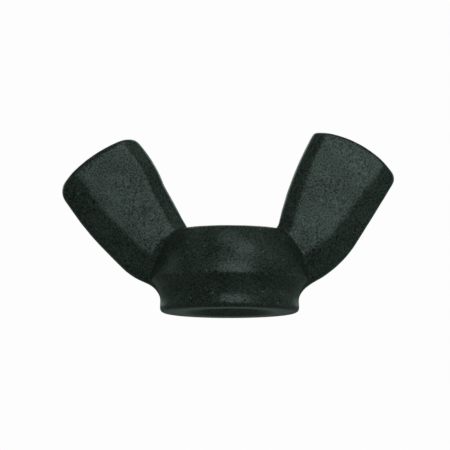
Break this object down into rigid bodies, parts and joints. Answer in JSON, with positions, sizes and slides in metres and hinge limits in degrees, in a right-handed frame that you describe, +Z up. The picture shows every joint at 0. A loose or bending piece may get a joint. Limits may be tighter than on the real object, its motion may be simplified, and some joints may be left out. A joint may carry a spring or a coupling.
{
  "type": "wing nut",
  "caption": "Wing nut of American form: domed hub with a threaded bore between broad, square-ended, bevelled wings, tightened by hand.",
  "frame": {"origin": "on the thread axis, in the flat seat face that bears on the work", "axes": "+Z up the thread axis from the seat face, +X along the spread of the wings towards the wing that stands up more, +Y across the wings; the parting plane of the casting is Y = 0"},
  "size_m": [0.0379, 0.0184, 0.0206],
  "materials": {
    "black_iron": "satin"
  },
  "bodies": {
    "root": {"wing_nut": "black_iron"}
  },
  "joints": []
}
